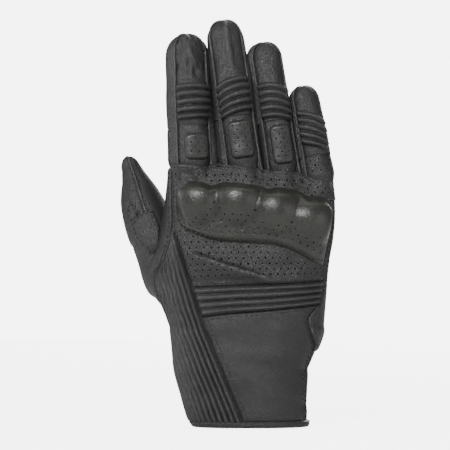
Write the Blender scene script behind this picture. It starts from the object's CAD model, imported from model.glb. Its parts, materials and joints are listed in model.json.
import json
import math
from bisect import bisect_left
from functools import lru_cache

import bmesh
import bpy
from mathutils import Matrix, Vector, noise


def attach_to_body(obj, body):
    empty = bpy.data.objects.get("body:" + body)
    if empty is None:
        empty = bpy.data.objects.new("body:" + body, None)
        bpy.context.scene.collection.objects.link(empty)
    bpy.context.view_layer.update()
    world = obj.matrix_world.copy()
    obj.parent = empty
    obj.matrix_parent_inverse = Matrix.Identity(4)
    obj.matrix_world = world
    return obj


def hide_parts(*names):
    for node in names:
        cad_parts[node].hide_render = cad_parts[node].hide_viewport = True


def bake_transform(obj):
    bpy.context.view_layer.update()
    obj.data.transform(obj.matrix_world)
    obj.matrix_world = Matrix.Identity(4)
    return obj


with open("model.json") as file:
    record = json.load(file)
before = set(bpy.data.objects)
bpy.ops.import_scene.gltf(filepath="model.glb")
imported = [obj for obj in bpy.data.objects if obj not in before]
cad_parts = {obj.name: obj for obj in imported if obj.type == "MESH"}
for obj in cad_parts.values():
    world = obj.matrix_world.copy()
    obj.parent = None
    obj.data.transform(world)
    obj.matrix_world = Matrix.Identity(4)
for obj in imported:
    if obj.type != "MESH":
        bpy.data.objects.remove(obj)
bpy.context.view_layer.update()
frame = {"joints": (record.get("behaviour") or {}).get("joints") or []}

# A leather riding glove for the right hand, standing on its hem with the fingers up.
# Every panel is cut on the flat and laid on the form of the hand or of a finger, its
# edges turned in at the seams, then given its thickness and its stitches.
# Lengths are in millimetres up to the point where a piece is made; angles in degrees.

MM = 0.001
JOINTS = {joint["name"]: joint for joint in frame["joints"]}


# ---- numbers of the pattern -----------------------------------------------------

# Up the hand: height, thumb side, little side, depth of back, depth of palm.
HAND = [
    (0, -35, 34.5, 25, 25),
    (35, -45, 35, 24, 25),
    (58, -47, 45, 22, 25),
    (77, -51, 46.5, 21, 24),
    (97, -51, 47.5, 20, 22),
    (115, -50, 51, 19, 20),
    (130, -51, 52, 17.75, 17.75),
    (160, -50, 49.5, 13, 13.5),
]
# How far the root of the thumb swells out of the hand, over height, and where.
THUMB_SWELL = [
    (62, 0), (70, 2), (77, 9), (84, 18), (92, 23), (98, 22),
    (104, 16), (111, 10), (118, 7), (125, 4.5), (136, 2), (150, 0),
]
SWELL_ANGLE = 158
SWELL_REACH = 58
SWELL_WAY = (-0.82, 0.57)
BEND_REACH = 12     # how far on each side of a hinge the leather bends

# Seams on the back of the hand, as x over height.
GUSSET_SEAM = [(0, -4), (7, -6), (62, -28.5), (115, -45), (120, -47.3), (158, -48.5)]
OUTER_SEAM = [
    (0, 33), (35, 33.5), (50, 39.5), (62, 35.5), (67, 35), (75, 42), (88, 45), (130, 50), (155, 48),
]
WEB_SEAM = [
    (58, -47), (68, -50), (76.5, -55), (87, -57), (94.5, -57.3), (101, -53), (113, -49.2),
    (125.6, -47.8), (160, -49.2),
]
# The palm side's edges, as an angle over height.
GUSSET_EDGE = [(0, 177), (60, 172), (75, 180)]
THUMB_EDGE = [
    (58, 166), (68, 162), (78, 134), (92, 116), (104, 122), (114, 138), (124, 152), (160, 160),
]
LITTLE_EDGE = 385
PALM_EDGE = 19
# Edges across the hand, as height over x.
ROOT_LINE = [
    (-50, 158.8), (-36, 159.8), (-19, 158.6), (-5, 159.4), (7.6, 155.8), (20, 155), (31.7, 150.4),
    (42, 150), (51, 149),
]
GUARD_FOOT = [(-45, 123), (-30, 113), (0, 110.5), (30, 100), (46, 98)]
GUARD_HEAD = [(-46, 150), (-16, 150), (8, 147), (32, 141), (48, 140)]
# Places of the crotches and of the guard's domes, as x and height.
CROTCHES = [(-19, 158.4), (7.2, 154.8), (31.2, 149.3)]
DOMES = [(-32, 138), (-7.5, 138), (15, 132), (36, 126)]

HEM_TOP = 3.6       # where the panels of the cuff come out of the hem's binding
WRIST = 58          # where the cuff meets the hand
LEATHER = 1.0       # thickness of the hide
SEAM_DIP = 1.1      # depth of the valley where two panels meet
SEAM_ROLL = 1.7     # how far from its edge a panel starts to turn in


def mix(a, b, t):
    return a + (b - a) * t


def smooth(t):
    t = max(0.0, min(1.0, t))
    return t * t * (3 - 2 * t)


def lookup(x, table):
    """The value at x of a line drawn through the table's points."""
    k = bisect_left(table, (x,))
    if k == 0 or k == len(table):
        return table[min(k, len(table) - 1)][1]
    (xa, ya), (xb, yb) = table[k - 1], table[k]
    return mix(ya, yb, (x - xa) / (xb - xa))


def eased(x, table, reach=6):
    """A value from a table with its corners rounded off."""
    return (lookup(x - reach, table) + 2 * lookup(x, table) + lookup(x + reach, table)) / 4


def power(value, exponent):
    return math.copysign(abs(value) ** exponent, value)


def bump(distance, width):
    return math.exp(-((distance / width) ** 2))


# ---- form of a finger or the thumb ---------------------------------------------------

class Digit:
    """Two stretches that meet at the middle hinge. 0 is the little side, 90 the palm."""

    def __init__(self, name, hinges, bodies, turn, radii, tip_length, dome, curve, squareness):
        root, middle = (JOINTS[hinge] for hinge in hinges)
        self.name = name
        self.bodies = bodies
        self.root = Vector(root["pos_m"]) / MM
        self.middle = Vector(middle["pos_m"]) / MM
        self.along = self.middle - self.root
        self.base = self.along.length
        self.along.normalize()
        self.across = Vector(root["axis"]).normalized() * turn
        self.palmward = self.along.cross(self.across)
        self.curve = math.radians(curve)
        self.exponent = 2 / squareness
        self.radii = radii
        self.tip_radius = radii[-1][1]
        self.dome = dome
        self.dome_from = self.base + tip_length - dome
        self.dome_arc = math.pi / 4 * (self.tip_radius + dome)
        self.end = self.dome_from + self.dome_arc

    def station(self, q):
        """Distance along and radius at q, which runs up the side and over the dome."""
        if q <= self.dome_from:
            return q, eased(q, self.radii, 3)
        a = min(1.0, (q - self.dome_from) / self.dome_arc) * math.pi / 2
        return self.dome_from + self.dome * math.sin(a), self.tip_radius * math.cos(a)

    def point(self, theta, q):
        s, r = self.station(q)
        a = math.radians(theta)
        x = r * power(math.cos(a), self.exponent)
        y = r * power(math.sin(a), self.exponent)
        y *= mix(1, 0.88, smooth((s - self.base) / (self.dome_from - self.base)))
        z = s - self.base
        bend = self.curve * smooth((z + 9) / 18)
        y, z = y * math.cos(bend) + z * math.sin(bend), z * math.cos(bend) - y * math.sin(bend)
        return self.middle + self.across * x + self.palmward * y + self.along * z

    def zone(self, joint):
        """Where its leather starts and ends turning at the root (0) or the middle (1) hinge."""
        hinge = (self.root, self.middle)[joint]
        return ((hinge + self.along * side * BEND_REACH) * MM for side in (-1, 1))


def make_finger(name, radii, tip_length):
    """A finger from its radii at the root, the middle joint and the tip."""
    root, middle = (Vector(JOINTS[name + ending]["pos_m"]) for ending in ("_root", "_middle"))
    base = (middle - root).length / MM
    r0, r1, r2 = radii
    dome = 1.15 * r2
    straight = tip_length - dome
    table = [(-14, r0 - 0.4), (-3, r0), (0.3 * base, r0 - 0.3), (0.6 * base, mix(r0, r1, 0.6) - 0.4),
             (base - 5, r1), (base + 5, r1), (base + 0.4 * straight, mix(r1, r2, 0.8)),
             (base + straight, r2)]
    return Digit(name, (name + "_root", name + "_middle"), ("hand", name + "_base", name + "_tip"),
                 turn=-1, radii=table, tip_length=tip_length, dome=dome, curve=10, squareness=2.25)


FINGERS = {
    "index": make_finger("index", (13.2, 12.9, 12.2), 44.5),
    "middle": make_finger("middle", (11.9, 11.9, 11.4), 50),
    "ring": make_finger("ring", (10.6, 10.4, 10.1), 39),
    "little": make_finger("little", (9.5, 9.1, 8.8), 30),
}
THUMB_RADII = [
    (-20, 12.5), (-8, 15.4), (0, 16.2), (10, 15.2), (22, 15.1), (34, 15.3), (43, 14), (48, 13.4),
    (56, 11.4), (64, 8.6), (71, 6),
]
THUMB = Digit("thumb", ("thumb_root_hinge", "thumb_middle"), ("hand", "thumb_base", "thumb_tip"),
              turn=1, radii=THUMB_RADII, tip_length=36, dome=8, curve=4, squareness=2.1)


# ---- form of the hand -----------------------------------------------------------


@lru_cache(maxsize=None)
def section(z):
    """Thumb side, little side, depth of back and palm, and the thumb's swell at a height."""
    left, right, back, palm = (eased(z, [(row[0], row[k]) for row in HAND]) for k in (1, 2, 3, 4))
    right -= 1.1 * bump(z - 36, 2.2) + 1.0 * bump(z - 14.5, 2.2)
    left += 2.0 * smooth((9 - z) / 9) ** 2
    return left, right, back, palm, eased(z, THUMB_SWELL, 3)


def finger_roots(x, y, z):
    """The hand's surface eases into the round backs and fronts of the fingers."""
    near = smooth((z - lookup(x, ROOT_LINE) + 13) / 13)
    if near == 0:
        return y
    depth = abs(y)
    round_depth = 0.0
    for finger in FINGERS.values():
        middle = finger.root.x + (z - finger.root.z) * finger.along.x / finger.along.z
        half = finger.radii[0][1] + 0.9
        if abs(x - middle) < half:
            round_depth = max(round_depth, math.sqrt(half * half - (x - middle) ** 2))
    return math.copysign(mix(depth, max(round_depth, 0.7 * depth), near), y)


def on_hand(phi, z):
    """A point on the hand: 0 is the little side, 90 the palm, 180 the thumb side, 270 the back."""
    left, right, back, palm, swell = section(round(z, 3))
    a = math.radians(phi)
    c, s = power(math.cos(a), 0.8), power(math.sin(a), 0.8)
    x = (left + right) / 2 + (right - left) / 2 * c
    y = (back if s < 0 else palm) * s
    reach = abs(phi - SWELL_ANGLE)
    if swell > 0 and reach < SWELL_REACH:
        share = swell * math.cos(math.radians(reach * 90 / SWELL_REACH)) ** 2
        x += SWELL_WAY[0] * share
        y += SWELL_WAY[1] * share
    if z > 134:
        y = finger_roots(x, y, z)
    return Vector((x, y, z))


@lru_cache(maxsize=None)
def leftmost(z):
    return min(range(150, 200, 2), key=lambda phi: on_hand(phi, z).x)


@lru_cache(maxsize=None)
def back_angle(x, z):
    """The angle on the back of the hand at which its form has this x."""
    low, high = leftmost(z), 360
    for _ in range(18):
        middle = (low + high) / 2
        if on_hand(middle, z).x < x:
            low = middle
        else:
            high = middle
    return low


def by_millimetre(angle):
    """An angle over height, worked out once for each millimetre."""
    kept = lru_cache(maxsize=None)(angle)
    return lambda z: mix(kept(math.floor(z)), kept(math.floor(z) + 1), z - math.floor(z))


def seam(table):
    return by_millimetre(lambda z: back_angle(lookup(z, table), z))


def at(value):
    return lambda _: value


gusset_seam = seam(GUSSET_SEAM)
outer_seam = seam(OUTER_SEAM)


def web_angle(z):
    share = smooth((z - 58) / 12)
    low = lookup(z, GUSSET_EDGE) if share < 1 else 0
    high = back_angle(lookup(z, WEB_SEAM), z) if share > 0 else 0
    return mix(low, high, share)


web_seam = by_millimetre(web_angle)


def hand_form(low_angle, high_angle, foot, head):
    """The part of the hand between two seams and two heights, over u and v from 0 to 1."""
    def form(u, v):
        z = mix(foot(u), head(u), v)
        return on_hand(mix(low_angle(z), high_angle(z), u), z)
    return even(form)


def even(form):
    """The same panel, with u running evenly across it as a flat pattern does."""
    steps, rows = 32, 12
    tables = []
    for row in range(rows + 1):
        reached = [0.0]
        for k in range(steps):
            step = form((k + 1) / steps, row / rows) - form(k / steps, row / rows)
            reached.append(reached[-1] + step.length)
        whole = max(reached[-1], 1e-6)
        tables.append([(length / whole, k / steps) for k, length in enumerate(reached)])

    def evenly(u, v):
        row = min(int(v * rows), rows - 1)
        return form(mix(lookup(u, tables[row]), lookup(u, tables[row + 1]), v * rows - row), v)
    return evenly


def digit_form(digit, arc, foot, head):
    """The part of a digit between two angles and two stations."""
    low = arc[0] if callable(arc[0]) else at(arc[0])
    high = arc[1] if callable(arc[1]) else at(arc[1])

    def form(u, v):
        q = mix(foot(u), head(u), v)
        return digit.point(mix(low(q), high(q), u), q)
    return form


# ---- laying leather ---------------------------------------------------------------

def surface(form, u, v):
    """A point of a form and the outward normal there."""
    h = 0.004
    across = form(min(u + h, 1.0), v) - form(max(u - h, 0.0), v)
    upward = form(u, min(v + h, 1.0)) - form(u, max(v - h, 0.0))
    normal = across.cross(upward)
    if normal.length < 1e-7:
        return form(u, v), surface(form, u, 0.985 if v > 0.5 else 0.015)[1]
    return form(u, v), normal.normalized()


def spans(form, steps=10):
    """How wide a panel is over v, and how tall it is over u."""
    places = [k / steps for k in range(steps + 1)]
    pairs = list(zip(places, places[1:]))
    widths = [(v, sum((form(b, v) - form(a, v)).length for a, b in pairs)) for v in places]
    heights = [(u, sum((form(u, b) - form(u, a)).length for a, b in pairs)) for u in places]
    return widths, heights


def measure(form):
    widths, heights = spans(form)
    return lookup(0.5, widths), lookup(0.5, heights)


def fine_cells(form, across, up):
    """Cells of about this size, so that holes can be punched in some of them."""
    width, height = measure(form)
    return round(width / across), round(height / up)


def flat(u, v, p):
    return 0.0


def rumple(p, size, depth, seed=0.0):
    """Soft creases in worn leather; size is one length, or one for each axis."""
    if isinstance(size, (int, float)):
        size = (size, size, size)
    q = Vector((p.x / size[0] + seed, p.y / size[1], p.z / size[2]))
    return depth * (noise.noise(q) + 0.45 * noise.noise(q * 2.3))


def rise(size, lift, turned, u, v, p):
    """How far the leather's face lies off the form: its lift, less the turn-in at its edges."""
    width, height = lookup(v, size[0]), lookup(u, size[1])
    reaches = {"L": u * width, "R": (1 - u) * width, "B": v * height, "T": (1 - v) * height}
    edge = min((reaches[side] for side in turned), default=99)
    dip = SEAM_DIP * smooth(width / 9)
    return lift(u, v, p) - dip * (1 - smooth(edge / SEAM_ROLL)) ** 1.5


def edge_eased(t, cells, length):
    """Moves the grid's lines so that two narrow rows run along each edge."""
    if cells < 6 or length < 8:
        return t
    first, second = 0.7 / length, 1.9 / length
    knots = [(0, 0), (1 / cells, first), (2 / cells, second), (1 - 2 / cells, 1 - second),
             (1 - 1 / cells, 1 - first), (1, 1)]
    return lookup(t, knots)


def punch(bm, cells, size, holes, radius):
    """Opens round holes in staggered rows where holes(u, v) says so."""
    nu, nv = cells
    chosen = []
    for face in bm.faces:
        c = face.calc_center_median()
        i, j = int((c.x + 0.5) * nu), int((c.y + 0.5) * nv)
        kept = i % 2 == 0 and j % 2 == 0 and (i + j) % 4 == 0
        if kept and 2 < i < nu - 3 and 2 < j < nv - 3 and holes((i + 0.5) / nu, (j + 0.5) / nv):
            chosen.append(face)
    if not chosen:
        return
    half_u, half_v = radius * 1.2 / size[0], radius * 1.2 / size[1]
    bmesh.ops.inset_individual(bm, faces=chosen, thickness=0.0001)
    for face in chosen:
        c = face.calc_center_median()
        for vert in face.verts:
            vert.co.x = c.x + math.copysign(half_u, vert.co.x - c.x)
            vert.co.y = c.y + math.copysign(half_v, vert.co.y - c.y)
    bmesh.ops.delete(bm, geom=chosen, context="FACES_ONLY")


def cut_panel(form, pitch=2.4, cells=None, lift=flat, turned="LRBT", holes=None, hole_radius=0.62,
              rows=None):
    """A panel laid on its form, as a bmesh in mm; rows may space its rows unevenly."""
    sizes = spans(form)
    size = lookup(0.5, sizes[0]), lookup(0.5, sizes[1])
    nu, nv = cells or (max(4, round(size[0] / pitch)), max(4, round(size[1] / pitch)))
    bm = bmesh.new()
    bmesh.ops.create_grid(bm, x_segments=nu, y_segments=nv, size=0.5)
    if holes:
        punch(bm, (nu, nv), size, holes, hole_radius)
    places = []
    for vert in bm.verts:
        u = edge_eased(min(max(vert.co.x + 0.5, 0), 1), nu, size[0])
        v = min(max(vert.co.y + 0.5, 0), 1)
        v = lookup(v, rows) if rows else edge_eased(v, nv, size[1])
        vert.co = form(u, v)
        places.append((u, v))
    bm.normal_update()
    moves = [vert.normal * rise(sizes, lift, turned, u, v, vert.co)
             for vert, (u, v) in zip(bm.verts, places)]
    for vert, move in zip(bm.verts, moves):
        vert.co += move
    bmesh.ops.remove_doubles(bm, verts=bm.verts, dist=0.02)
    return bm


def seam_path(form, side, inset, span=(0.03, 0.97), steps=50):
    """Places in u and v along one edge of a panel, inset mm from it."""
    path = []
    for k in range(steps + 1):
        t = mix(span[0], span[1], k / steps)
        if side in "LR":
            width = (form(0.55, t) - form(0.45, t)).length * 10
            path.append((inset / width if side == "L" else 1 - inset / width, t))
        else:
            height = (form(t, 0.55) - form(t, 0.45)).length * 10
            path.append((t, inset / height if side == "B" else 1 - inset / height))
    return path


def stitch_pattern():
    """The points and faces of one stitch, a slim capsule along x, in metres."""
    bm = bmesh.new()
    slim = Matrix.Diagonal((1.12, 0.36, 0.36, 1)) @ Matrix.Rotation(math.pi / 2, 4, "Y")
    bmesh.ops.create_uvsphere(bm, u_segments=6, v_segments=4, radius=MM, matrix=slim)
    points = [vert.co.copy() for vert in bm.verts]
    faces = [[vert.index for vert in face.verts] for face in bm.faces]
    bm.free()
    return points, faces


STITCH_POINTS, STITCH_FACES = stitch_pattern()


def add_stitches(bm, form, lift, turned, path, pitch=3.0):
    """A row of stitches along a path, each a small low capsule sunk in the leather."""
    sizes = spans(form)
    row = []
    for u, v in path:
        if 0 <= u <= 1:
            p, normal = surface(form, u, v)
            row.append((p + normal * rise(sizes, lift, turned, u, v, p), normal))
    travelled, due = 0.0, pitch / 2
    for (a, normal), (b, _) in zip(row, row[1:]):
        step = (b - a).length
        while step > 1e-6 and due <= travelled + step:
            place = a.lerp(b, (due - travelled) / step)
            along = (b - a).normalized()
            side = normal.cross(along).normalized()
            turn = Matrix((along, side, normal)).transposed().to_4x4()
            where = Matrix.Translation((place + normal * 0.08) * MM) @ turn
            verts = [bm.verts.new(where @ point) for point in STITCH_POINTS]
            for corners in STITCH_FACES:
                face = bm.faces.new([verts[corner] for corner in corners])
                face.material_index = 1
                face.smooth = True
            due += pitch
        travelled += step


def in_scene(name, data):
    thing = bpy.data.objects.new(name, data)
    bpy.context.scene.collection.objects.link(thing)
    return thing


def settle(piece):
    """Makes the result of the modifiers the mesh itself."""
    graph = bpy.context.evaluated_depsgraph_get()
    graph.update()
    mesh = bpy.data.meshes.new_from_object(piece.evaluated_get(graph))
    before = piece.data
    piece.modifiers.clear()
    piece.data = mesh
    bpy.data.meshes.remove(before)


def piece_from(name, bm, finish, thickness):
    """A finished piece, in metres, from a bmesh in mm; its stitches take the thread."""
    for face in bm.faces:
        face.smooth = True
    mesh = bpy.data.meshes.new(name)
    bm.to_mesh(mesh)
    bm.free()
    mesh.transform(Matrix.Scale(MM, 4))
    mesh.materials.append(finish)
    mesh.materials.append(THREAD)
    piece = in_scene(name, mesh)
    wall = piece.modifiers.new("thickness", "SOLIDIFY")
    wall.thickness = thickness * MM
    wall.offset = -1
    fine = piece.modifiers.new("smoothness", "SUBSURF")
    fine.levels = 1
    fine.render_levels = 1
    settle(piece)
    return piece


def sewn(inset, sides="LRBT", *span):
    """One row of stitches along each of the sides."""
    return [(side, inset, *span) for side in sides]


def sewn_panel(name, form, finish, stitches=(), thickness=LEATHER, **cut):
    """A panel with its rows of stitches: each row is (side, inset) or (side, inset, span)."""
    piece = piece_from(name, cut_panel(form, **cut), finish, thickness)
    if stitches:
        bm = bmesh.new()
        bm.from_mesh(piece.data)
        for row in stitches:
            add_stitches(bm, form, cut.get("lift", flat), cut.get("turned", "LRBT"), seam_path(form, *row))
        bm.to_mesh(piece.data)
        bm.free()
    return piece


def join(name, pieces):
    """Several meshes sewn into one piece, with the first one's finishes."""
    bm = bmesh.new()
    for piece in pieces:
        bm.from_mesh(piece.data)
    first = pieces[0]
    bm.to_mesh(first.data)
    bm.free()
    for piece in pieces[1:]:
        bpy.data.objects.remove(piece)
    first.name = name
    return first


def welt(name, points, radius, finish, taper=False):
    """A rolled strip of leather along a seam."""
    curve = bpy.data.curves.new(name, "CURVE")
    curve.dimensions = "3D"
    curve.bevel_depth = radius * MM
    curve.bevel_resolution = 2
    curve.use_fill_caps = True
    spline = curve.splines.new("POLY")
    spline.points.add(len(points) - 1)
    last = len(points) - 1
    for k, (knot, p) in enumerate(zip(spline.points, points)):
        knot.co = (*(p * MM), 1)
        knot.radius = mix(0.6, 1, min(1, (last - k) / 4)) if taper else 1
    strip = in_scene(name, curve)
    graph = bpy.context.evaluated_depsgraph_get()
    graph.update()
    mesh = bpy.data.meshes.new_from_object(strip.evaluated_get(graph))
    bpy.data.objects.remove(strip)
    for face in mesh.polygons:
        face.use_smooth = True
        face.material_index = 0
    mesh.materials.clear()
    mesh.materials.append(finish)
    return in_scene(name, mesh)


def attach(piece, slot, *nodes, body="hand", digit=None, joint=0, fill=None):
    """Says which CAD nodes a piece stands for, its finish, and the body or hinge it goes with."""
    if nodes:
        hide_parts(*nodes)
    if digit:
        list(digit.bodies[joint:joint + 2])
        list(digit.zone(joint))
        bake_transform(piece)
    else:
        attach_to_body(piece, body)


# ---- finishes ------------------------------------------------------------------------

class Nodes:
    """Short ways to add and link nodes in one tree."""

    def __init__(self, tree):
        self.tree = tree

    def add(self, kind, **settings):
        node = self.tree.nodes.new(kind)
        for key, value in settings.items():
            if key in node.inputs:
                node.inputs[key].default_value = value
            else:
                setattr(node, key, value)
        return node

    def link(self, source, target):
        self.tree.links.new(source, target)

    def math(self, operation, a, b):
        node = self.tree.nodes.new("ShaderNodeMath")
        node.operation = operation
        for socket, value in zip(node.inputs, (a, b)):
            if isinstance(value, (int, float)):
                socket.default_value = value
            else:
                self.link(value, socket)
        return node.outputs[0]

    def remap(self, value, low, high, to_low, to_high):
        node = self.tree.nodes.new("ShaderNodeMapRange")
        self.link(value, node.inputs["Value"])
        for key, number in (("From Min", low), ("From Max", high), ("To Min", to_low), ("To Max", to_high)):
            node.inputs[key].default_value = number
        return node.outputs[0]


def new_group(name, inputs, outputs):
    tree = bpy.data.node_groups.new(name, "ShaderNodeTree")
    for label, kind, value in inputs:
        socket = tree.interface.new_socket(label, in_out="INPUT", socket_type=kind)
        if value is not None:
            socket.default_value = value
    for label, kind in outputs:
        tree.interface.new_socket(label, in_out="OUTPUT", socket_type=kind)
    nodes = Nodes(tree)
    return tree, nodes, nodes.add("NodeGroupInput"), nodes.add("NodeGroupOutput")


def grain_group():
    """Pebbled grain with finer pores and long soft creases, as a height."""
    tree, n, inside, outside = new_group(
        "leather_grain",
        [("Coordinates", "NodeSocketVector", None), ("Cells", "NodeSocketFloat", 800.0),
         ("Crease", "NodeSocketFloat", 1.0)],
        [("Height", "NodeSocketFloat"), ("Valleys", "NodeSocketFloat")])
    warp = n.add("ShaderNodeTexNoise", Scale=260.0, Detail=2.0)
    n.link(inside.outputs["Coordinates"], warp.inputs["Vector"])
    shift = n.add("ShaderNodeVectorMath", operation="SCALE")
    n.link(warp.outputs["Color"], shift.inputs[0])
    shift.inputs["Scale"].default_value = 0.0011
    moved = n.add("ShaderNodeVectorMath", operation="ADD")
    n.link(inside.outputs["Coordinates"], moved.inputs[0])
    n.link(shift.outputs[0], moved.inputs[1])
    cells = n.add("ShaderNodeTexVoronoi", feature="DISTANCE_TO_EDGE")
    n.link(moved.outputs[0], cells.inputs["Vector"])
    n.link(inside.outputs["Cells"], cells.inputs["Scale"])
    pebble = n.remap(cells.outputs["Distance"], 0.0, 0.28, 0.0, 1.0)
    pores = n.add("ShaderNodeTexNoise", Scale=2600.0, Detail=3.0, Roughness=0.6)
    n.link(inside.outputs["Coordinates"], pores.inputs["Vector"])
    creases = n.add("ShaderNodeTexNoise", Scale=120.0, Detail=5.0, Roughness=0.62, Distortion=0.4)
    n.link(inside.outputs["Coordinates"], creases.inputs["Vector"])
    fine = n.math("ADD", pebble, n.math("MULTIPLY", pores.outputs["Fac"], 0.5))
    coarse = n.math("MULTIPLY", n.math("MULTIPLY", creases.outputs["Fac"], 5.0), inside.outputs["Crease"])
    n.link(n.math("ADD", fine, coarse), outside.inputs["Height"])
    n.link(n.remap(cells.outputs["Distance"], 0.0, 0.12, 1.0, 0.0), outside.inputs["Valleys"])
    return tree


def tone_group():
    """Leather colour: dye that varies, rubbed places and dust in the grain."""
    tree, n, inside, outside = new_group(
        "leather_tone",
        [("Coordinates", "NodeSocketVector", None), ("Dye", "NodeSocketColor", (0.03, 0.03, 0.03, 1)),
         ("Rubbed", "NodeSocketColor", (0.07, 0.07, 0.07, 1)), ("Valleys", "NodeSocketFloat", 0.0),
         ("Ridges", "NodeSocketFloat", 0.0)],
        [("Colour", "NodeSocketColor"), ("Rub", "NodeSocketFloat")])
    clouds = n.add("ShaderNodeTexNoise", Scale=45.0, Detail=4.0, Roughness=0.6)
    n.link(inside.outputs["Coordinates"], clouds.inputs["Vector"])
    flecks = n.add("ShaderNodeTexNoise", Scale=900.0, Detail=2.0)
    n.link(inside.outputs["Coordinates"], flecks.inputs["Vector"])
    patches = n.remap(clouds.outputs["Fac"], 0.42, 0.68, 0.0, 0.35)
    grit = n.remap(flecks.outputs["Fac"], 0.45, 0.75, 0.0, 0.3)
    rub = n.math("MINIMUM", n.math("ADD", n.math("ADD", patches, grit), inside.outputs["Ridges"]), 1.0)
    colour = n.add("ShaderNodeMix", data_type="RGBA")
    n.link(rub, colour.inputs["Factor"])
    n.link(inside.outputs["Dye"], colour.inputs["A"])
    n.link(inside.outputs["Rubbed"], colour.inputs["B"])
    dark = n.add("ShaderNodeMix", data_type="RGBA", blend_type="MULTIPLY")
    n.link(n.math("MULTIPLY", inside.outputs["Valleys"], 0.5), dark.inputs["Factor"])
    n.link(colour.outputs["Result"], dark.inputs["A"])
    dark.inputs["B"].default_value = (0.35, 0.35, 0.35, 1)
    n.link(dark.outputs["Result"], outside.inputs["Colour"])
    n.link(rub, outside.inputs["Rub"])
    return tree


def weave_group():
    """Fine ribs of knitting or tape, crossed by rows."""
    tree, n, inside, outside = new_group(
        "knit", [("Coordinates", "NodeSocketVector", None), ("Pitch", "NodeSocketFloat", 900.0)],
        [("Height", "NodeSocketFloat")])
    waves = []
    for direction in ("X", "Y", "Z"):
        wave = n.add("ShaderNodeTexWave", wave_type="BANDS", bands_direction=direction, Distortion=0.6)
        n.link(inside.outputs["Coordinates"], wave.inputs["Vector"])
        n.link(inside.outputs["Pitch"], wave.inputs["Scale"])
        waves.append(wave.outputs["Fac"])
    total = n.math("ADD", n.math("MULTIPLY", waves[0], waves[2]), n.math("MULTIPLY", waves[1], waves[2]))
    n.link(total, outside.inputs["Height"])
    return tree


GRAIN = grain_group()
TONE = tone_group()
KNIT = weave_group()


def start_finish(name):
    material = bpy.data.materials.new(name)
    material.use_nodes = True
    n = Nodes(material.node_tree)
    shader = material.node_tree.nodes["Principled BSDF"]
    place = n.add("ShaderNodeTexCoord")
    return material, n, shader, place.outputs["Object"]


def bumped(n, shader, height, depth):
    node = n.add("ShaderNodeBump", Strength=1.0, Distance=depth)
    n.link(height, node.inputs["Height"])
    n.link(node.outputs["Normal"], shader.inputs["Normal"])


def leather(name, dye, rubbed, roughness, cells=800.0, depth=0.00014, crease=1.0, coat=0.0):
    """Dyed hide: dark in hollows, rubbed paler and smoother on ridges; roughness is (dyed, rubbed)."""
    material, n, shader, place = start_finish(name)
    grain = n.add("ShaderNodeGroup", node_tree=GRAIN)
    n.link(place, grain.inputs["Coordinates"])
    grain.inputs["Cells"].default_value = cells
    grain.inputs["Crease"].default_value = crease
    tone = n.add("ShaderNodeGroup", node_tree=TONE)
    n.link(place, tone.inputs["Coordinates"])
    tone.inputs["Dye"].default_value = (*dye, 1)
    tone.inputs["Rubbed"].default_value = (*rubbed, 1)
    form = n.add("ShaderNodeNewGeometry")
    hollows = n.remap(form.outputs["Pointiness"], 0.494, 0.455, 0.0, 1.7)
    n.link(n.math("ADD", grain.outputs["Valleys"], hollows), tone.inputs["Valleys"])
    n.link(n.remap(form.outputs["Pointiness"], 0.505, 0.55, 0.0, 1.0), tone.inputs["Ridges"])
    n.link(tone.outputs["Colour"], shader.inputs["Base Color"])
    n.link(n.remap(tone.outputs["Rub"], 0.0, 1.0, roughness[0], roughness[1]), shader.inputs["Roughness"])
    shader.inputs["Coat Weight"].default_value = coat
    shader.inputs["Coat Roughness"].default_value = 0.28
    bumped(n, shader, grain.outputs["Height"], depth)
    return material


def fabric(name, colour, pitch, roughness, depth=0.0003, sheen=0.3):
    """Knit, tape or thread."""
    material, n, shader, place = start_finish(name)
    knit = n.add("ShaderNodeGroup", node_tree=KNIT)
    n.link(place, knit.inputs["Coordinates"])
    knit.inputs["Pitch"].default_value = pitch
    fuzz = n.add("ShaderNodeTexNoise", Scale=700.0, Detail=3.0)
    n.link(place, fuzz.inputs["Vector"])
    tint = n.add("ShaderNodeMix", data_type="RGBA")
    n.link(n.remap(fuzz.outputs["Fac"], 0.3, 0.7, 0.0, 1.0), tint.inputs["Factor"])
    tint.inputs["A"].default_value = (*(c * 0.7 for c in colour), 1)
    tint.inputs["B"].default_value = (*(c * 1.4 for c in colour), 1)
    n.link(tint.outputs["Result"], shader.inputs["Base Color"])
    shader.inputs["Roughness"].default_value = roughness
    shader.inputs["Sheen Weight"].default_value = sheen
    bumped(n, shader, knit.outputs["Height"], depth)
    return material


def moulded(name, colour, roughness, scale):
    """Moulded plastic, or foam with open cells at a larger scale."""
    material, n, shader, place = start_finish(name)
    texture = n.add("ShaderNodeTexNoise", Scale=scale, Detail=4.0)
    n.link(place, texture.inputs["Vector"])
    tint = n.add("ShaderNodeMix", data_type="RGBA")
    n.link(texture.outputs["Fac"], tint.inputs["Factor"])
    tint.inputs["A"].default_value = (*(c * 0.8 for c in colour), 1)
    tint.inputs["B"].default_value = (*(c * 1.2 for c in colour), 1)
    n.link(tint.outputs["Result"], shader.inputs["Base Color"])
    rough = n.remap(texture.outputs["Fac"], 0.3, 0.7, roughness - 0.06, roughness + 0.08)
    n.link(rough, shader.inputs["Roughness"])
    bumped(n, shader, texture.outputs["Fac"], 0.0001)
    return material


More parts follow.
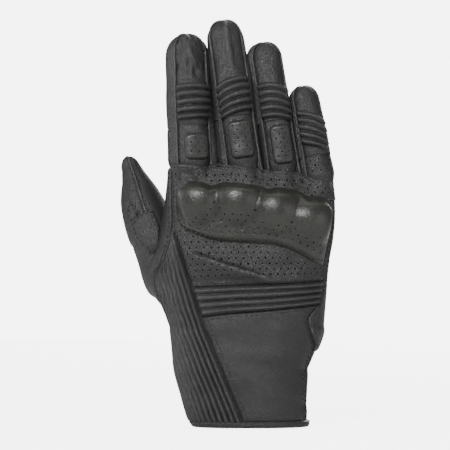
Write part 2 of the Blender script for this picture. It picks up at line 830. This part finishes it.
BACK_HIDE = leather("back_hide", (0.0175, 0.0175, 0.0171), (0.045, 0.045, 0.044), (0.45, 0.35), crease=1.2)
RIB_HIDE = leather("rib_hide", (0.020, 0.020, 0.0198), (0.052, 0.052, 0.0515), (0.44, 0.34), crease=0.6)
GUARD_HIDE = leather("guard_hide", (0.022, 0.0218, 0.0185), (0.050, 0.0495, 0.042), (0.33, 0.26),
                     cells=900.0, depth=0.00006, crease=0.7, coat=0.15)
PAD_HIDE = leather("pad_hide", (0.0180, 0.0180, 0.0172), (0.045, 0.045, 0.043), (0.42, 0.34),
                   depth=0.00006, crease=0.6)
PALM_HIDE = leather("palm_hide", (0.0145, 0.0145, 0.0145), (0.030, 0.030, 0.0295), (0.56, 0.48),
                    cells=1000.0, depth=0.00008)
CUFF_HIDE = leather("cuff_hide", (0.0175, 0.0175, 0.0172), (0.036, 0.036, 0.0355), (0.48, 0.42),
                    cells=1150.0, depth=0.00009, crease=0.9)
WELT_HIDE = leather("welt_hide", (0.022, 0.022, 0.0215), (0.050, 0.050, 0.049), (0.42, 0.34), crease=0.4)
LINING = fabric("lining_knit", (0.011, 0.011, 0.0115), 1300.0, 0.9)
TAPE = fabric("hook_tape", (0.009, 0.009, 0.009), 1700.0, 0.85, depth=0.0005)
THREAD = fabric("thread", (0.026, 0.026, 0.025), 4000.0, 0.6, depth=0.00005, sheen=0.1)
PLASTIC = moulded("shell_plastic", (0.03, 0.03, 0.031), 0.5, 1500.0)
FOAM = moulded("pad_foam", (0.12, 0.12, 0.12), 0.85, 2200.0)


# ---- camera, light and floor ------------------------------------------------------------

VIEW_CENTRE = (-0.0152, 0.1226)     # x and height, in metres
VIEW_DISTANCE = 2.0
VIEW_WIDTH = 0.27315
SENSOR = 36
FLOOR_SIZE = 1.5
# Brightness of the pale surroundings: as light on the glove, and as seen by the eye.
SURROUNDINGS = (0.20, 6.5)
FLOOR_GLOW = 5.0
# Soft lamps that look at the glove: place and size in metres, watts.
LAMPS = {
    "key": ((-0.35, -1.35, 1.05), 0.45, 24),
    "fill": ((1.2, -1.0, 0.4), 0.8, 4),
    "thumb_side": ((-1.5, -0.1, 0.6), 0.7, 8),
    "top": ((0.1, 0.1, 1.5), 0.8, 3),
    "behind": ((0.3, 1.5, 0.7), 0.9, 14),
}
LAMPS_AIM = Vector((0, 0, 0.12))


def stand_up_studio():
    camera = bpy.data.cameras.new("camera")
    camera.sensor_width = SENSOR
    camera.lens = SENSOR * VIEW_DISTANCE / VIEW_WIDTH
    eye = in_scene("camera", camera)
    eye.location = (VIEW_CENTRE[0], -VIEW_DISTANCE, VIEW_CENTRE[1])
    eye.rotation_euler = (math.pi / 2, 0, 0)
    bpy.context.scene.camera = eye

    bm = bmesh.new()
    bmesh.ops.create_grid(bm, x_segments=1, y_segments=1, size=FLOOR_SIZE)
    mesh = bpy.data.meshes.new("floor")
    bm.to_mesh(mesh)
    bm.free()
    pale = bpy.data.materials.new("pale_floor")
    pale.use_nodes = True
    n = Nodes(pale.node_tree)
    shader = pale.node_tree.nodes["Principled BSDF"]
    shader.inputs["Base Color"].default_value = (0.8, 0.8, 0.8, 1)
    shader.inputs["Roughness"].default_value = 0.9
    shader.inputs["Emission Color"].default_value = (1, 1, 1, 1)
    seen = n.add("ShaderNodeLightPath")
    glow = n.math("MULTIPLY", seen.outputs["Is Camera Ray"], FLOOR_GLOW)
    n.link(glow, shader.inputs["Emission Strength"])
    mesh.materials.append(pale)
    in_scene("floor", mesh)

    world = bpy.data.worlds.new("studio")
    world.use_nodes = True
    n = Nodes(world.node_tree)
    backdrop = world.node_tree.nodes["Background"]
    backdrop.inputs["Color"].default_value = (1, 1, 1, 1)
    seen = n.add("ShaderNodeLightPath")
    n.link(n.remap(seen.outputs["Is Camera Ray"], 0.0, 1.0, *SURROUNDINGS), backdrop.inputs["Strength"])
    bpy.context.scene.world = world
    for name, (place, size, watts) in LAMPS.items():
        lamp = bpy.data.lights.new(name, "AREA")
        lamp.shape = "SQUARE"
        lamp.size = size
        lamp.energy = watts
        stand = in_scene(name, lamp)
        stand.location = place
        stand.rotation_euler = (LAMPS_AIM - Vector(place)).to_track_quat("-Z", "Y").to_euler()


# ---- back of the hand ---------------------------------------------------------------------

def rib_foot(u):
    return mix(67, 75, u)


def rib_head(u):
    return mix(85, 89, u)


def folds(t, count, height):
    return height * abs(math.sin(math.pi * count * t)) ** 0.65


def root_line(u):
    return lookup(mix(-48.5, 49, u), ROOT_LINE)


def pleat(p):
    """The triangular fold on the back: a ridge that runs down to the little side."""
    ridge = 103.5 - (p.x + 27) * 12 / 36.7
    below = ridge - p.z
    along = smooth((p.x + 40) / 10) * smooth((16 - p.x) / 12)
    return 3.0 * along * smooth((below + 1.6) / 2.4) * (1 - smooth(below / max(6.0, ridge - 87)))


def back_lift(u, v, p):
    fold = bump(p.z - 88 - (p.x + 34.5) * 0.06, 1.3) * smooth((p.x + 40) / 6) * smooth((12 - p.x) / 10)
    return pleat(p) - 0.9 * fold + rumple(p, (16, 16, 9), 0.45) * smooth((p.z - 88) / 5)


DOME_HALF_WIDTH = 14.2
DOME_ABOVE = 12.0       # how far a dome reaches up from its top, and down from it
DOME_BELOW = 16.0
DOME_HEIGHT = 6.6
guard_left = seam([(98, -30), (113, -34), (120, -41), (128, -44.5), (138, -45), (151, -43)])
guard_right = seam([(98, 44), (115, 47.3), (130, 48.3), (151, 46.5)])


def guard_foot(u):
    return eased(mix(-45, 47, u), GUARD_FOOT, 4)


def guard_head(u):
    """The guard's top edge goes round over each dome and in between them."""
    x = mix(-46, 47, u)
    over = max(math.sqrt(max(0.0, 1 - ((x - dome_x) / 13) ** 2)) for dome_x, _ in DOMES)
    ends = 9 * smooth((x + 36) / -9) + 8 * smooth((x - 38) / 9)
    return eased(x, GUARD_HEAD, 4) - 5.6 + 5 * over - ends


def guard_rise(u, v, p):
    """Height of the guard: a slope up from its foot to four domes, steep above them."""
    rim = smooth(min(u, 1 - u) / 0.09)
    slope = 2.8 * smooth(v / 0.12) + 1.4 * smooth(v / 0.6)
    domes = 0.0
    for x, z in DOMES:
        tall = DOME_ABOVE if p.z > z else DOME_BELOW
        reach = ((p.x - x) / DOME_HALF_WIDTH) ** 2 + ((p.z - z) / tall) ** 2
        domes += max(0.0, 1 - reach) ** 2.4
    return LEATHER + 0.2 + rim * smooth((1 - v) / 0.14) * (slope + DOME_HEIGHT * domes ** (1 / 3))


def back_of_hand():
    form = hand_form(gusset_seam, outer_seam, rib_head, root_line)

    def open_leather(u, v):
        p = form(u, v)
        share = (p.x + 45) / 92
        under_guard = guard_foot(share) + 1 < p.z < guard_head(share) - 1 and abs(p.x - 1) < 44
        return p.z > 89.5 and not under_guard

    back = sewn_panel("hand_back", form, BACK_HIDE, cells=fine_cells(form, 1.2, 1.6),
                      lift=back_lift, holes=open_leather, hole_radius=0.46,
                      stitches=[("L", 2.0), ("R", 2.2), ("T", 1.9), ("B", 1.8)])
    attach(back, "back_leather", "back_panel")

    form = hand_form(gusset_seam, outer_seam, rib_foot, rib_head)
    ribs = sewn_panel("wrist_ribs", form, RIB_HIDE, cells=(34, 36), stitches=sewn(1.8, "LR"),
                      lift=lambda u, v, p: folds(v, 4, 2.0) * smooth(min(u, 1 - u) / 0.03) - 0.2)
    attach(ribs, "back_leather", "back_ribs")


def knuckle_guard():
    form = hand_form(guard_left, guard_right, guard_foot, guard_head)

    def open_leather(u, v):
        p = form(u, v)
        nearest = min(((p.x - x) / 11) ** 2 + ((p.z - z) / 9) ** 2 for x, z in DOMES)
        return 0.12 < v < 0.66 and (nearest > 1.2 or v < 0.32)

    cover = sewn_panel("knuckle_guard_cover", form, GUARD_HIDE,
                       cells=fine_cells(form, 1.2, 1.6), lift=guard_rise,
                       holes=open_leather, hole_radius=0.4, stitches=[("B", 2.1), ("L", 2.0)])
    attach(cover, "gloss_leather", "knuckle_cover")

    def under_cover(share, foot, head):
        """A smaller panel inside the cover, at a share of its height."""
        low, high = 0.07, 0.93
        inner = lambda u, v: form(mix(low, high, u), mix(foot, head, v))
        lift = lambda u, v, p: share * guard_rise(mix(low, high, u), mix(foot, head, v), p) - 0.1
        return {"form": inner, "lift": lift, "pitch": 3.2, "turned": ""}

    shell = sewn_panel("knuckle_moulded_shell", finish=PLASTIC, thickness=1.5,
                       **under_cover(0.78, 0.14, 0.88))
    attach(shell, "shell_plastic", "knuckle_shell")
    pad = sewn_panel("knuckle_padding", finish=FOAM, thickness=0.8, **under_cover(0.42, 0.16, 0.86))
    attach(pad, "foam", "knuckle_foam", fill=0.8)


# ---- sides and palm -------------------------------------------------------------------------

RIB_PITCH = 3.5


def side_ribs():
    """Ribs that run side by side with the seam of the cuff and end one by one at the other."""
    form = hand_form(web_seam, gusset_seam, at(HEM_TOP), at(118.5))
    widths = spans(form)[0]

    def lift(u, v, p):
        from_seam = (1 - u) * lookup(v, widths)
        crease = 1.0 * bump(p.z - 62, 1.4) + 0.5 * bump(p.z - 68, 1.2)
        height = 2.1 * smooth(u * lookup(v, widths) / 4)
        return folds(from_seam / RIB_PITCH, 1, height) - crease - 0.2 + rumple(p, (30, 30, 14), 0.3)

    ribs = sewn_panel("side_ribs_fan", form, RIB_HIDE, cells=(110, 46), lift=lift,
                      stitches=[("R", 1.6, (0.02, 0.93))])
    attach(ribs, "back_leather", "side_ribs")


def thumb_edge(z):
    return lookup(z, THUMB_EDGE)


def thumb_side():
    """One hide from the index finger's side, round the thumb's root, down to the cuff."""
    def head(u):
        return mix(146, 157.5, smooth(u / 0.6))

    form = hand_form(thumb_edge, web_seam, at(WRIST), head)
    hide = sewn_panel("thumb_side_hide", form, BACK_HIDE, pitch=2.3,
                      lift=lambda u, v, p: rumple(p, (18, 18, 26), 0.5, 3.0),
                      stitches=[("R", 1.8), ("L", 2.0), ("B", 2.0)])
    attach(hide, "back_leather", "thumb_root", "web_panel")


def palm_line(u):
    """The palm's top edge: low in front of each finger, up to each crotch between them."""
    x = mix(47, -47, u)
    line = lookup(x, ROOT_LINE) - 10
    return line + 8.0 * sum(bump(x - crotch_x, 3.2) for crotch_x, _ in CROTCHES)


def palm():
    form = hand_form(at(PALM_EDGE), thumb_edge, at(WRIST), palm_line)
    hide = sewn_panel("palm_hide", form, PALM_HIDE, pitch=2.4, stitches=sewn(2.0, "LBT"),
                      lift=lambda u, v, p: rumple(p, (24, 24, 12), 0.5, 5.0))
    attach(hide, "palm_leather", "palm_panel")

    form = hand_form(at(56), lambda z: min(118, thumb_edge(z) - 6), at(84),
                     lambda u: palm_line(mix(0.22, 0.7, u)) - 5)
    overlay = sewn_panel("palm_overlay", form, PALM_HIDE, pitch=2.6, stitches=sewn(2.0) + sewn(4.0, "LR"),
                         lift=lambda u, v, p: 1.3 + rumple(p, (24, 24, 12), 0.4, 5.0))
    attach(overlay, "palm_leather", "palm_reinforcement")

    def over_cuff(u, v, p):
        return 1.3 * (1 - smooth((p.z - WRIST) / 4)) + rumple(p, (14, 14, 22), 0.35, 8.0)

    form = hand_form(outer_seam, at(LITTLE_EDGE), at(46), lambda u: mix(149.5, 145, u))
    side = sewn_panel("little_side_hide", form, BACK_HIDE, pitch=2.2, lift=over_cuff,
                      stitches=sewn(1.8, "LR"))
    attach(side, "back_leather", "side_panel")

    def cushion(u, v, p):
        crown = math.sin(math.pi * min(max(u, 0), 1)) * math.sin(math.pi * min(max(v, 0), 1))
        return 1.3 + 2.8 * crown ** 0.5 + rumple(p, 7, 0.25, 2.0)

    form = hand_form(at(26), lambda z: mix(60, 80, smooth((z - 62) / 18)), at(62), at(82))
    pad = sewn_panel("heel_cushion", form, PALM_HIDE, pitch=1.9, lift=cushion, stitches=sewn(1.6))
    attach(pad, "palm_leather", "heel_pad", fill=0.6)


# ---- cuff --------------------------------------------------------------------------------------

SLIT = (84, 96)             # its two edges, as angles
HEM = (0.3, 4.9)            # heights of the binding's two edges
LINING_HEAD = 66            # where the sleeve's lining meets the back's
STRAP = (24, 150, 14, 37)   # angles where it is sewn on and where it ends; heights of its edges
STRAP_CORNER = 7.0
LOOP_PATCH = (104, 148, 15, 36)
HOOK_PATCH = (108, 146, 18, 33)


def cuff():
    """The cuff's three hides, its hem, the tongue behind the slit, linings and the loop patch."""
    gusset_edge = lambda z: lookup(z, GUSSET_EDGE)
    hides = [
        ("cuff_back_hide", "cuff_back", (gusset_seam, outer_seam, at(HEM_TOP), rib_foot)),
        ("cuff_outer_hide", "cuff_palm_outer", (outer_seam, at(360 + SLIT[0]), at(HEM_TOP), at(WRIST))),
        ("cuff_inner_hide", "cuff_palm_inner", (at(SLIT[1]), gusset_edge, at(HEM_TOP), at(WRIST))),
    ]
    for seed, (name, node, bounds) in enumerate(hides):
        rows = sewn(2.0, "LRT") + (sewn(4.2, "L") if name == "cuff_back_hide" else [])
        piece = sewn_panel(name, hand_form(*bounds), CUFF_HIDE, pitch=2.4, stitches=rows,
                           lift=lambda u, v, p: rumple(p, (20, 20, 8), 0.55, 20.0 + seed))
        attach(piece, "back_leather", node)

    def roll(u, v, p):
        return -0.3 + 1.9 * math.sqrt(max(0.0, 1 - (2 * v - 1) ** 2)) ** 0.7

    form = hand_form(at(SLIT[1]), at(360 + SLIT[0]), *map(at, HEM))
    hem = sewn_panel("hem_binding", form, CUFF_HIDE, cells=(120, 8), lift=roll, turned="LR",
                     thickness=1.9, stitches=sewn(1.3, "T"))
    attach(hem, "back_leather", "cuff_binding")

    def slack(u, v, p):
        return -1.25 - 1.5 * math.sin(math.pi * min(max(u, 0), 1)) + rumple(p, 9, 0.3)

    form = hand_form(at(SLIT[0] - 9), at(SLIT[1] + 9), at(2.5), at(WRIST))
    tongue = sewn_panel("cuff_tongue", form, LINING, pitch=2.5, turned="", lift=slack)
    attach(tongue, "lining_fabric", "cuff_gusset")

    form = hand_form(at(SLIT[1] + 8.5), at(360 + SLIT[0] - 8.5), at(1.2), at(LINING_HEAD))
    sleeve = sewn_panel("cuff_sleeve_lining", form, LINING, pitch=3.4, turned="T",
                        lift=lambda u, v, p: -1.25 + rumple(p, 14, 0.25))
    attach(sleeve, "lining_fabric", "cuff_lining")

    form = hand_form(at(186), at(354), at(LINING_HEAD), lambda u: root_line(u) - 4)
    inner = sewn_panel("back_inner_lining", form, LINING, pitch=4, turned="T",
                       lift=lambda u, v, p: -1.5 + rumple(p, 14, 0.2))
    attach(inner, "lining_fabric", "back_lining")

    form = hand_form(*map(at, LOOP_PATCH))
    loops = sewn_panel("strap_loop_patch", form, TAPE, pitch=2, thickness=0.7, stitches=sewn(1.4),
                       lift=lambda u, v, p: 1.5 + rumple(p, 1.3, 0.25))
    attach(loops, "hook_and_loop", "loop_patch")


def strap():
    """The wrist strap: sewn down at the little side, closed over the loop patch."""
    def under(u):
        """How far it lies off the cuff, more where it passes over the loop patch."""
        return mix(1.8, 4.1, smooth(u / 0.55))

    def corner(u):
        t = max(0.0, (u - 0.86) / 0.14)
        return STRAP_CORNER * (1 - math.sqrt(max(0.0, 1 - min(1.0, t) ** 2.4)))

    sewn_end, free_end, foot, head = STRAP
    form = hand_form(at(sewn_end), at(free_end), lambda u: foot + corner(u), lambda u: head - corner(u))
    band = sewn_panel("wrist_strap", form, CUFF_HIDE, pitch=2.2, thickness=1.8, turned="RBT",
                      lift=lambda u, v, p: under(u) + 1.9 + rumple(p, 18, 0.3, 4.0),
                      stitches=(sewn(2.4, "BT") + sewn(2.6, "R", (0.12, 0.88))
                                + sewn(2.0, "L") + sewn(5.0, "L")))
    attach(band, "back_leather", "strap_leather", body="strap")

    form = hand_form(*map(at, HOOK_PATCH))
    hooks = sewn_panel("strap_hook_patch", form, TAPE, pitch=2, thickness=0.7,
                       lift=lambda u, v, p: 3.5 + rumple(p, 1.1, 0.2))
    attach(hooks, "hook_and_loop", "strap_hook", body="strap")


# ---- fingers -------------------------------------------------------------------------------------

# Of each finger: angles of its back seams, the seam across it, the pad's top,
# the ribs' slope across the finger and how much they arch.
FINGER_CUT = {
    "index": {"back": (236, 340), "split": 24.0, "pad": (255, 326, 20.5), "slope": 0.6, "arch": 0.5},
    "middle": {"back": (218, 330), "split": 29.0, "pad": (238, 312, 27.5), "slope": 2.6, "arch": 2.0},
    "ring": {"back": (221, 340), "split": 29.8, "pad": (243, 318, 28.5), "slope": -2.4, "arch": 2.2},
    "little": {"back": (222, 346), "split": 15.0, "pad": None, "slope": -5.0, "arch": 1.0},
}
PALM_SEAMS = (28, 152)
ROOT_UNDER = -13.0      # where a finger's leather starts, under the hand's
LAP = 2.2               # how far its lower leather runs on under the upper
RIB_REACH = 10.0        # how far the ribs reach from the middle joint
RIBS = 5


def finger_groove(q):
    """The dip where a finger's back comes out from under the hand's back."""
    return -1.3 * (1 - smooth((q - 0.5) / 3.0))


def room(finger, theta, neighbour, q):
    """How far a finger's side is filled out to meet the next finger halfway."""
    if neighbour is None:
        return 1.5
    p = finger.point(theta, q)
    p.y = neighbour.root.y
    along = (p - neighbour.root).dot(neighbour.along)
    reach = neighbour.station(along)[1]
    gap = (p - neighbour.root - neighbour.along * along).length - reach
    fill = min(5.2, gap / 2 + mix(1.7, 1.1, smooth((q - 24) / 20)))
    return mix(max(0.5, fill), 0.8, smooth((along - neighbour.dome_from + 4) / 9))


def side_strips(finger, cut, foot, head, lift):
    """Both side walls of a finger, each filled out towards its neighbour."""
    low, high = cut["back"]
    row = [None, *FINGERS.values(), None]
    k = row.index(finger)
    stations = range(math.floor(foot), math.ceil(head) + 1)
    strips = []
    for theta, arc, neighbour in ((180, (PALM_SEAMS[1], low), row[k - 1]),
                                  (360, (high, 360 + PALM_SEAMS[0]), row[k + 1])):
        fill = [(q, room(finger, theta, neighbour, q)) for q in stations]

        def filled(u, v, p, fill=fill, outer=neighbour is None):
            q = mix(foot, head, v)
            across = smooth(min(u, 1 - u) / 0.3)
            under_hand = 2.0 * (1 - smooth((q + 2) / 6)) if outer else 0.0
            return lift(u, v, p) - under_hand + eased(q, fill, 3) * across * smooth((finger.end - q) / 15)

        strip = digit_form(finger, arc, at(foot), at(head))
        strips.append(sewn_panel("side", strip, BACK_HIDE, pitch=2.2, lift=filled, turned="LR"))
    return strips


def base_pieces(finger, cut):
    low, high = cut["back"]
    split, name = cut["split"], finger.name
    top = split + LAP
    tucked = lambda v: -0.7 * smooth((v * (top - ROOT_UNDER) + ROOT_UNDER - split + 1.5) / 1.5)
    at_v = lambda v: ROOT_UNDER + v * (top - ROOT_UNDER)

    def back_lift(u, v, p):
        return finger_groove(at_v(v)) + tucked(v) + rumple(p, (9, 9, 7), 0.3, 1.0)

    def side_lift(u, v, p):
        return -0.5 + tucked(v) + rumple(p, (12, 12, 16), 0.3, 6.0)

    def palm_lift(u, v, p):
        return tucked(v) + rumple(p, (12, 12, 7), 0.45, 9.0)

    form = digit_form(finger, (low, high), at(ROOT_UNDER), at(top))
    holes = None
    cells = None
    if cut["pad"] is None:
        cells = fine_cells(form, 1.15, 1.5)
        holes = lambda u, v: 3 < at_v(v) < split - 1 and 0.12 < u < 0.88
    back = sewn_panel(name + "_lower_back", form, BACK_HIDE, pitch=2.0, cells=cells, lift=back_lift,
                      holes=holes, hole_radius=0.38, turned="LR", stitches=sewn(1.7, "LR", (0.42, 0.92)))
    attach(back, "back_leather", name + "_base_back", digit=finger)

    sides = join(name + "_lower_sides", side_strips(finger, cut, ROOT_UNDER, top, side_lift))
    attach(sides, "back_leather", name + "_base_sides", digit=finger)

    form = digit_form(finger, PALM_SEAMS, at(ROOT_UNDER), at(top))
    palm_side = sewn_panel(name + "_lower_palm", form, PALM_HIDE, pitch=2.2, lift=palm_lift, turned="LR",
                           stitches=sewn(1.7, "LR", (0.2, 0.92)))
    attach(palm_side, "palm_leather", name + "_base_palm", "root_creases", digit=finger)


def finger_pad(finger, cut):
    """A perforated pad sewn on the finger's back, a rectangle with round corners."""
    low, high, top = cut["pad"]
    form = digit_form(finger, (low, high), at(3.0), at(top))
    width, height = measure(form)
    corner = 4.5

    def crown(u, v, p):
        out_x = max(0.0, abs(u - 0.5) * width - width / 2 + corner)
        out_z = max(0.0, abs(v - 0.5) * height - height / 2 + corner)
        edge = corner - math.hypot(out_x, out_z)
        return -1.6 + 3.6 * smooth(edge / 1.7) ** 0.7 + rumple(p, 8, 0.25, 12.0)

    pad = sewn_panel(finger.name + "_perforated_pad", form, PAD_HIDE,
                     cells=fine_cells(form, 0.95, 1.25), lift=crown,
                     holes=lambda u, v: 0.2 < u < 0.8 and 0.15 < v < 0.87, hole_radius=0.3, turned="")
    attach(pad, "gloss_leather", finger.name + "_base_pad", digit=finger, fill=0.7)


def rib_rows(finger, cut, length):
    """Close rows over the ribbed stretch of a finger's back, wider ones beyond it."""
    reach = RIB_REACH + abs(cut["slope"])
    low = max(1.0, finger.base - reach - cut["split"])
    high = finger.base + reach + cut["arch"] - cut["split"]
    below, over, beyond = math.ceil(low / 2), round((high - low) / 0.5), round((length - high) / 1.6)
    total = below + over + beyond
    rows = [(0, 0), (below / total, low / length), ((below + over) / total, high / length), (1, 1)]
    return {"cells": (18, total), "rows": rows}


def tip_pieces(finger, cut):
    low, high = cut["back"]
    split, name = cut["split"], finger.name
    centre = (low + high) / 2
    length = finger.end - split
    mean_r = finger.station(finger.base)[1]
    at_v = lambda v: split + v * length

    def rib_place(u, v):
        """From 0 to 1 over the ribbed stretch, along lines that slope and arch."""
        x = mix(-1, 1, u)
        s = at_v(v) - finger.base - cut["slope"] * x + cut["arch"] * x * x
        return (s + RIB_REACH) / (2 * RIB_REACH)

    def back_lift(u, v, p):
        t = rib_place(u, v)
        margin = smooth(min(u, 1 - u) * mean_r * 1.8 / 2.2)
        ribs = folds(t, RIBS, 2.7) * margin if 0 < t < 1 else 0.0
        wrinkle = rumple(p, (9, 9, 12), 0.35, 15.0)
        if name == "index":
            wrinkle += rumple(p, (3.4, 3.4, 30), 1.6, 2.0) * smooth((at_v(v) - finger.base - 12) / 5)
        if name == "middle":
            ridge = bump(mix(low, high, u) - centre - 2, 7)
            wrinkle += 1.5 * ridge * smooth((at_v(v) - finger.base - 15) / 4) * smooth((1 - v) / 0.2)
        return ribs + wrinkle * (0.3 if 0 < t < 1 else 1.0) * smooth((1 - v) / 0.12)

    form = digit_form(finger, (low, high), at(split), at(finger.end))
    back = sewn_panel(name + "_upper_back", form, BACK_HIDE, lift=back_lift, turned="LRB",
                      stitches=sewn(1.6, "LR", (0.06, 0.8)), **rib_rows(finger, cut, length))
    attach(back, "back_leather", name + "_tip_back", name + "_flex", digit=finger, joint=1)

    def side_lift(u, v, p):
        return (-0.5 + rumple(p, (12, 12, 14), 0.3, 6.0)) * smooth((1 - v) / 0.15)

    sides = join(name + "_upper_sides", side_strips(finger, cut, split, finger.end, side_lift))
    attach(sides, "back_leather", name + "_tip_sides", digit=finger, joint=1)

    def palm_lift(u, v, p):
        crease = sum(bump(at_v(v) - finger.base - k, 1.3) for k in (-5, 0, 5))
        return (-0.7 * crease + rumple(p, (12, 12, 8), 0.45, 9.0)) * smooth((1 - v) / 0.12)

    form = digit_form(finger, PALM_SEAMS, at(split), at(finger.end))
    palm_side = sewn_panel(name + "_upper_palm", form, PALM_HIDE, pitch=2.0, lift=palm_lift, turned="LRB",
                           stitches=sewn(1.7, "LR", (0.05, 0.8)))
    attach(palm_side, "palm_leather", name + "_tip_palm", digit=finger, joint=1)


def digit_lining(digit, name, foot, split):
    """The knitted lining inside a finger or the thumb, seen where two seams part."""
    stretches = (("_lower_lining", foot, split + 1), ("_upper_lining", split, digit.end))
    for joint, (ending, low, high) in enumerate(stretches):
        form = digit_form(digit, (0, 360), at(low), at(high))
        tube = sewn_panel(name + ending, form, LINING, pitch=3.0, turned="", thickness=0.5,
                          lift=lambda u, v, p: -1.9)
        attach(tube, "lining_fabric", digit=digit, joint=joint)


def finger_welts(finger, cut, crotches):
    """Rolled strips up both back seams, each carried down to the middle of its crotch."""
    low, high = cut["back"]
    split = cut["split"]
    lower, upper = [], []
    for theta, crotch in ((low, crotches[0]), (high, crotches[1])):
        path = [finger.point(theta, mix(split + 1, 3.0, k / 14)) for k in range(15)]
        if crotch:
            floor = crotch_edge(crotch)
            start, pull = path[-1], path[-1] - finger.along * 4
            for k in range(1, 9):
                t = k / 8
                path.append(start.lerp(pull, t).lerp(pull.lerp(floor, t), t))
        else:
            for q, sink in ((0, 0.12), (-3, 0.3), (-6, 0.5)):
                path.append(finger.point(theta, q).lerp(finger.root + finger.along * q, sink))
        lower.append(welt("welt", path, 0.85, WELT_HIDE))
        path = [finger.point(theta, mix(split, finger.end - 0.6, k / 30)) for k in range(31)]
        upper.append(welt("welt", path, 0.8, WELT_HIDE, taper=True))
    for joint, (ending, strips) in enumerate((("_lower_welts", lower), ("_upper_welts", upper))):
        attach(join(finger.name + ending, strips), "back_leather", digit=finger, joint=joint)


def crotch_edge(crotch):
    """Where the back's top edge lies between two fingers."""
    edge = on_hand(back_angle(crotch[0], crotch[1]), crotch[1])
    return edge + Vector((0, -0.5, 0.7))


def crotch_gusset(name, crotch, reach):
    """The floor of the gap between two fingers, lower at its back and palm ends."""
    half = -crotch_edge(crotch).y - 1.0

    def form(u, v):
        y = mix(-half, half, v)
        x = crotch[0] + mix(-reach, reach, u)
        rise = 3.5 * (2 * u - 1) ** 2 - 2.5 * smooth((abs(y) - half + 4) / 4)
        return Vector((x, y, crotch[1] - 0.8 + rise))

    attach(sewn_panel(name, form, RIB_HIDE, pitch=1.5, turned=""), "back_leather")


def fingers():
    names = list(FINGERS)
    for k, name in enumerate(names):
        finger, cut = FINGERS[name], FINGER_CUT[name]
        base_pieces(finger, cut)
        if cut["pad"]:
            finger_pad(finger, cut)
        tip_pieces(finger, cut)
        digit_lining(finger, name, -8, cut["split"])
        finger_welts(finger, cut, (CROTCHES[k - 1] if k else None, CROTCHES[k] if k < 3 else None))
    for k, crotch in enumerate(CROTCHES):
        crotch_gusset(names[k] + "_" + names[k + 1] + "_gusset", crotch, 5.5)


# ---- thumb ---------------------------------------------------------------------------------------

THUMB_SPLIT = 24.0
THUMB_SEAMS = (196, 316, 556)
PATCH = (13, 39)
DIAMOND = (282, 41)     # the middle of the diamond, as an angle and a station


def thumb_hides():
    """Its two halves, each cut across below the middle joint."""
    halves = (("back", BACK_HIDE, "back_leather", ("thumb_tip_back", "thumb_flex")),
              ("palm", PALM_HIDE, "palm_leather", ("thumb_tip_palm",)))
    for k, (side, hide, slot, tip_nodes) in enumerate(halves):
        arc = THUMB_SEAMS[k:k + 2]
        seed = 30.0 + k

        def tucked(u, v, p):
            under = 0.7 * smooth((v - 0.93) / 0.05) + 4.0 * (1 - smooth(v / 0.26))
            return rumple(p, (14, 14, 20), 0.5, seed) - under

        form = digit_form(THUMB, arc, at(-16), at(THUMB_SPLIT + LAP))
        lower = sewn_panel("thumb_lower_" + side, form, hide, pitch=2.3, turned="LR", lift=tucked,
                           stitches=sewn(1.8, "LR", (0.3, 0.92)))
        attach(lower, slot, "thumb_base_" + side, digit=THUMB)
        form = digit_form(THUMB, arc, at(THUMB_SPLIT), at(THUMB.end))
        upper = sewn_panel("thumb_upper_" + side, form, hide, pitch=2.1, turned="LRB",
                           lift=lambda u, v, p: rumple(p, (12, 12, 22), 0.5, seed),
                           stitches=sewn(1.8, "LR", (0.05, 0.85)))
        attach(upper, slot, *tip_nodes, digit=THUMB, joint=1)


def thumb():
    digit_lining(THUMB, "thumb", -4, THUMB_SPLIT)
    thumb_hides()
    seams = []
    for theta in THUMB_SEAMS[:2]:
        path = [THUMB.point(theta, mix(THUMB_SPLIT, THUMB.end - 0.6, k / 28)) for k in range(29)]
        seams.append(welt("welt", path, 0.75, WELT_HIDE, taper=True))
    attach(join("thumb_welts", seams), "back_leather", digit=THUMB, joint=1)

    def patch_left(q):
        return mix(284, 268, smooth((q - PATCH[0]) / 16))

    def patch_right(q):
        return mix(318, 334, smooth((q - PATCH[0]) / 16))

    form = digit_form(THUMB, (patch_left, patch_right), at(PATCH[0]), at(PATCH[1]))
    patch = sewn_panel("thumb_patch_hide", form, BACK_HIDE, pitch=1.8, stitches=sewn(1.7),
                       lift=lambda u, v, p: mix(0.7, 1.8, smooth(v / 0.3)) + rumple(p, 9, 0.5, 40.0))
    attach(patch, "back_leather", "thumb_patch", digit=THUMB, joint=1)

    def diamond(u, v):
        a, b = u - 0.5, v - 0.5
        return THUMB.point(DIAMOND[0] + (a - b) * 16, DIAMOND[1] + (a + b) * 7.5)

    flash = sewn_panel("thumb_diamond_patch", diamond, BACK_HIDE, pitch=1.3, stitches=sewn(1.3),
                       lift=lambda u, v, p: 1.9)
    attach(flash, "back_leather", digit=THUMB, joint=1)


stand_up_studio()
back_of_hand()
knuckle_guard()
side_ribs()
thumb_side()
palm()
cuff()
strap()
fingers()
thumb()
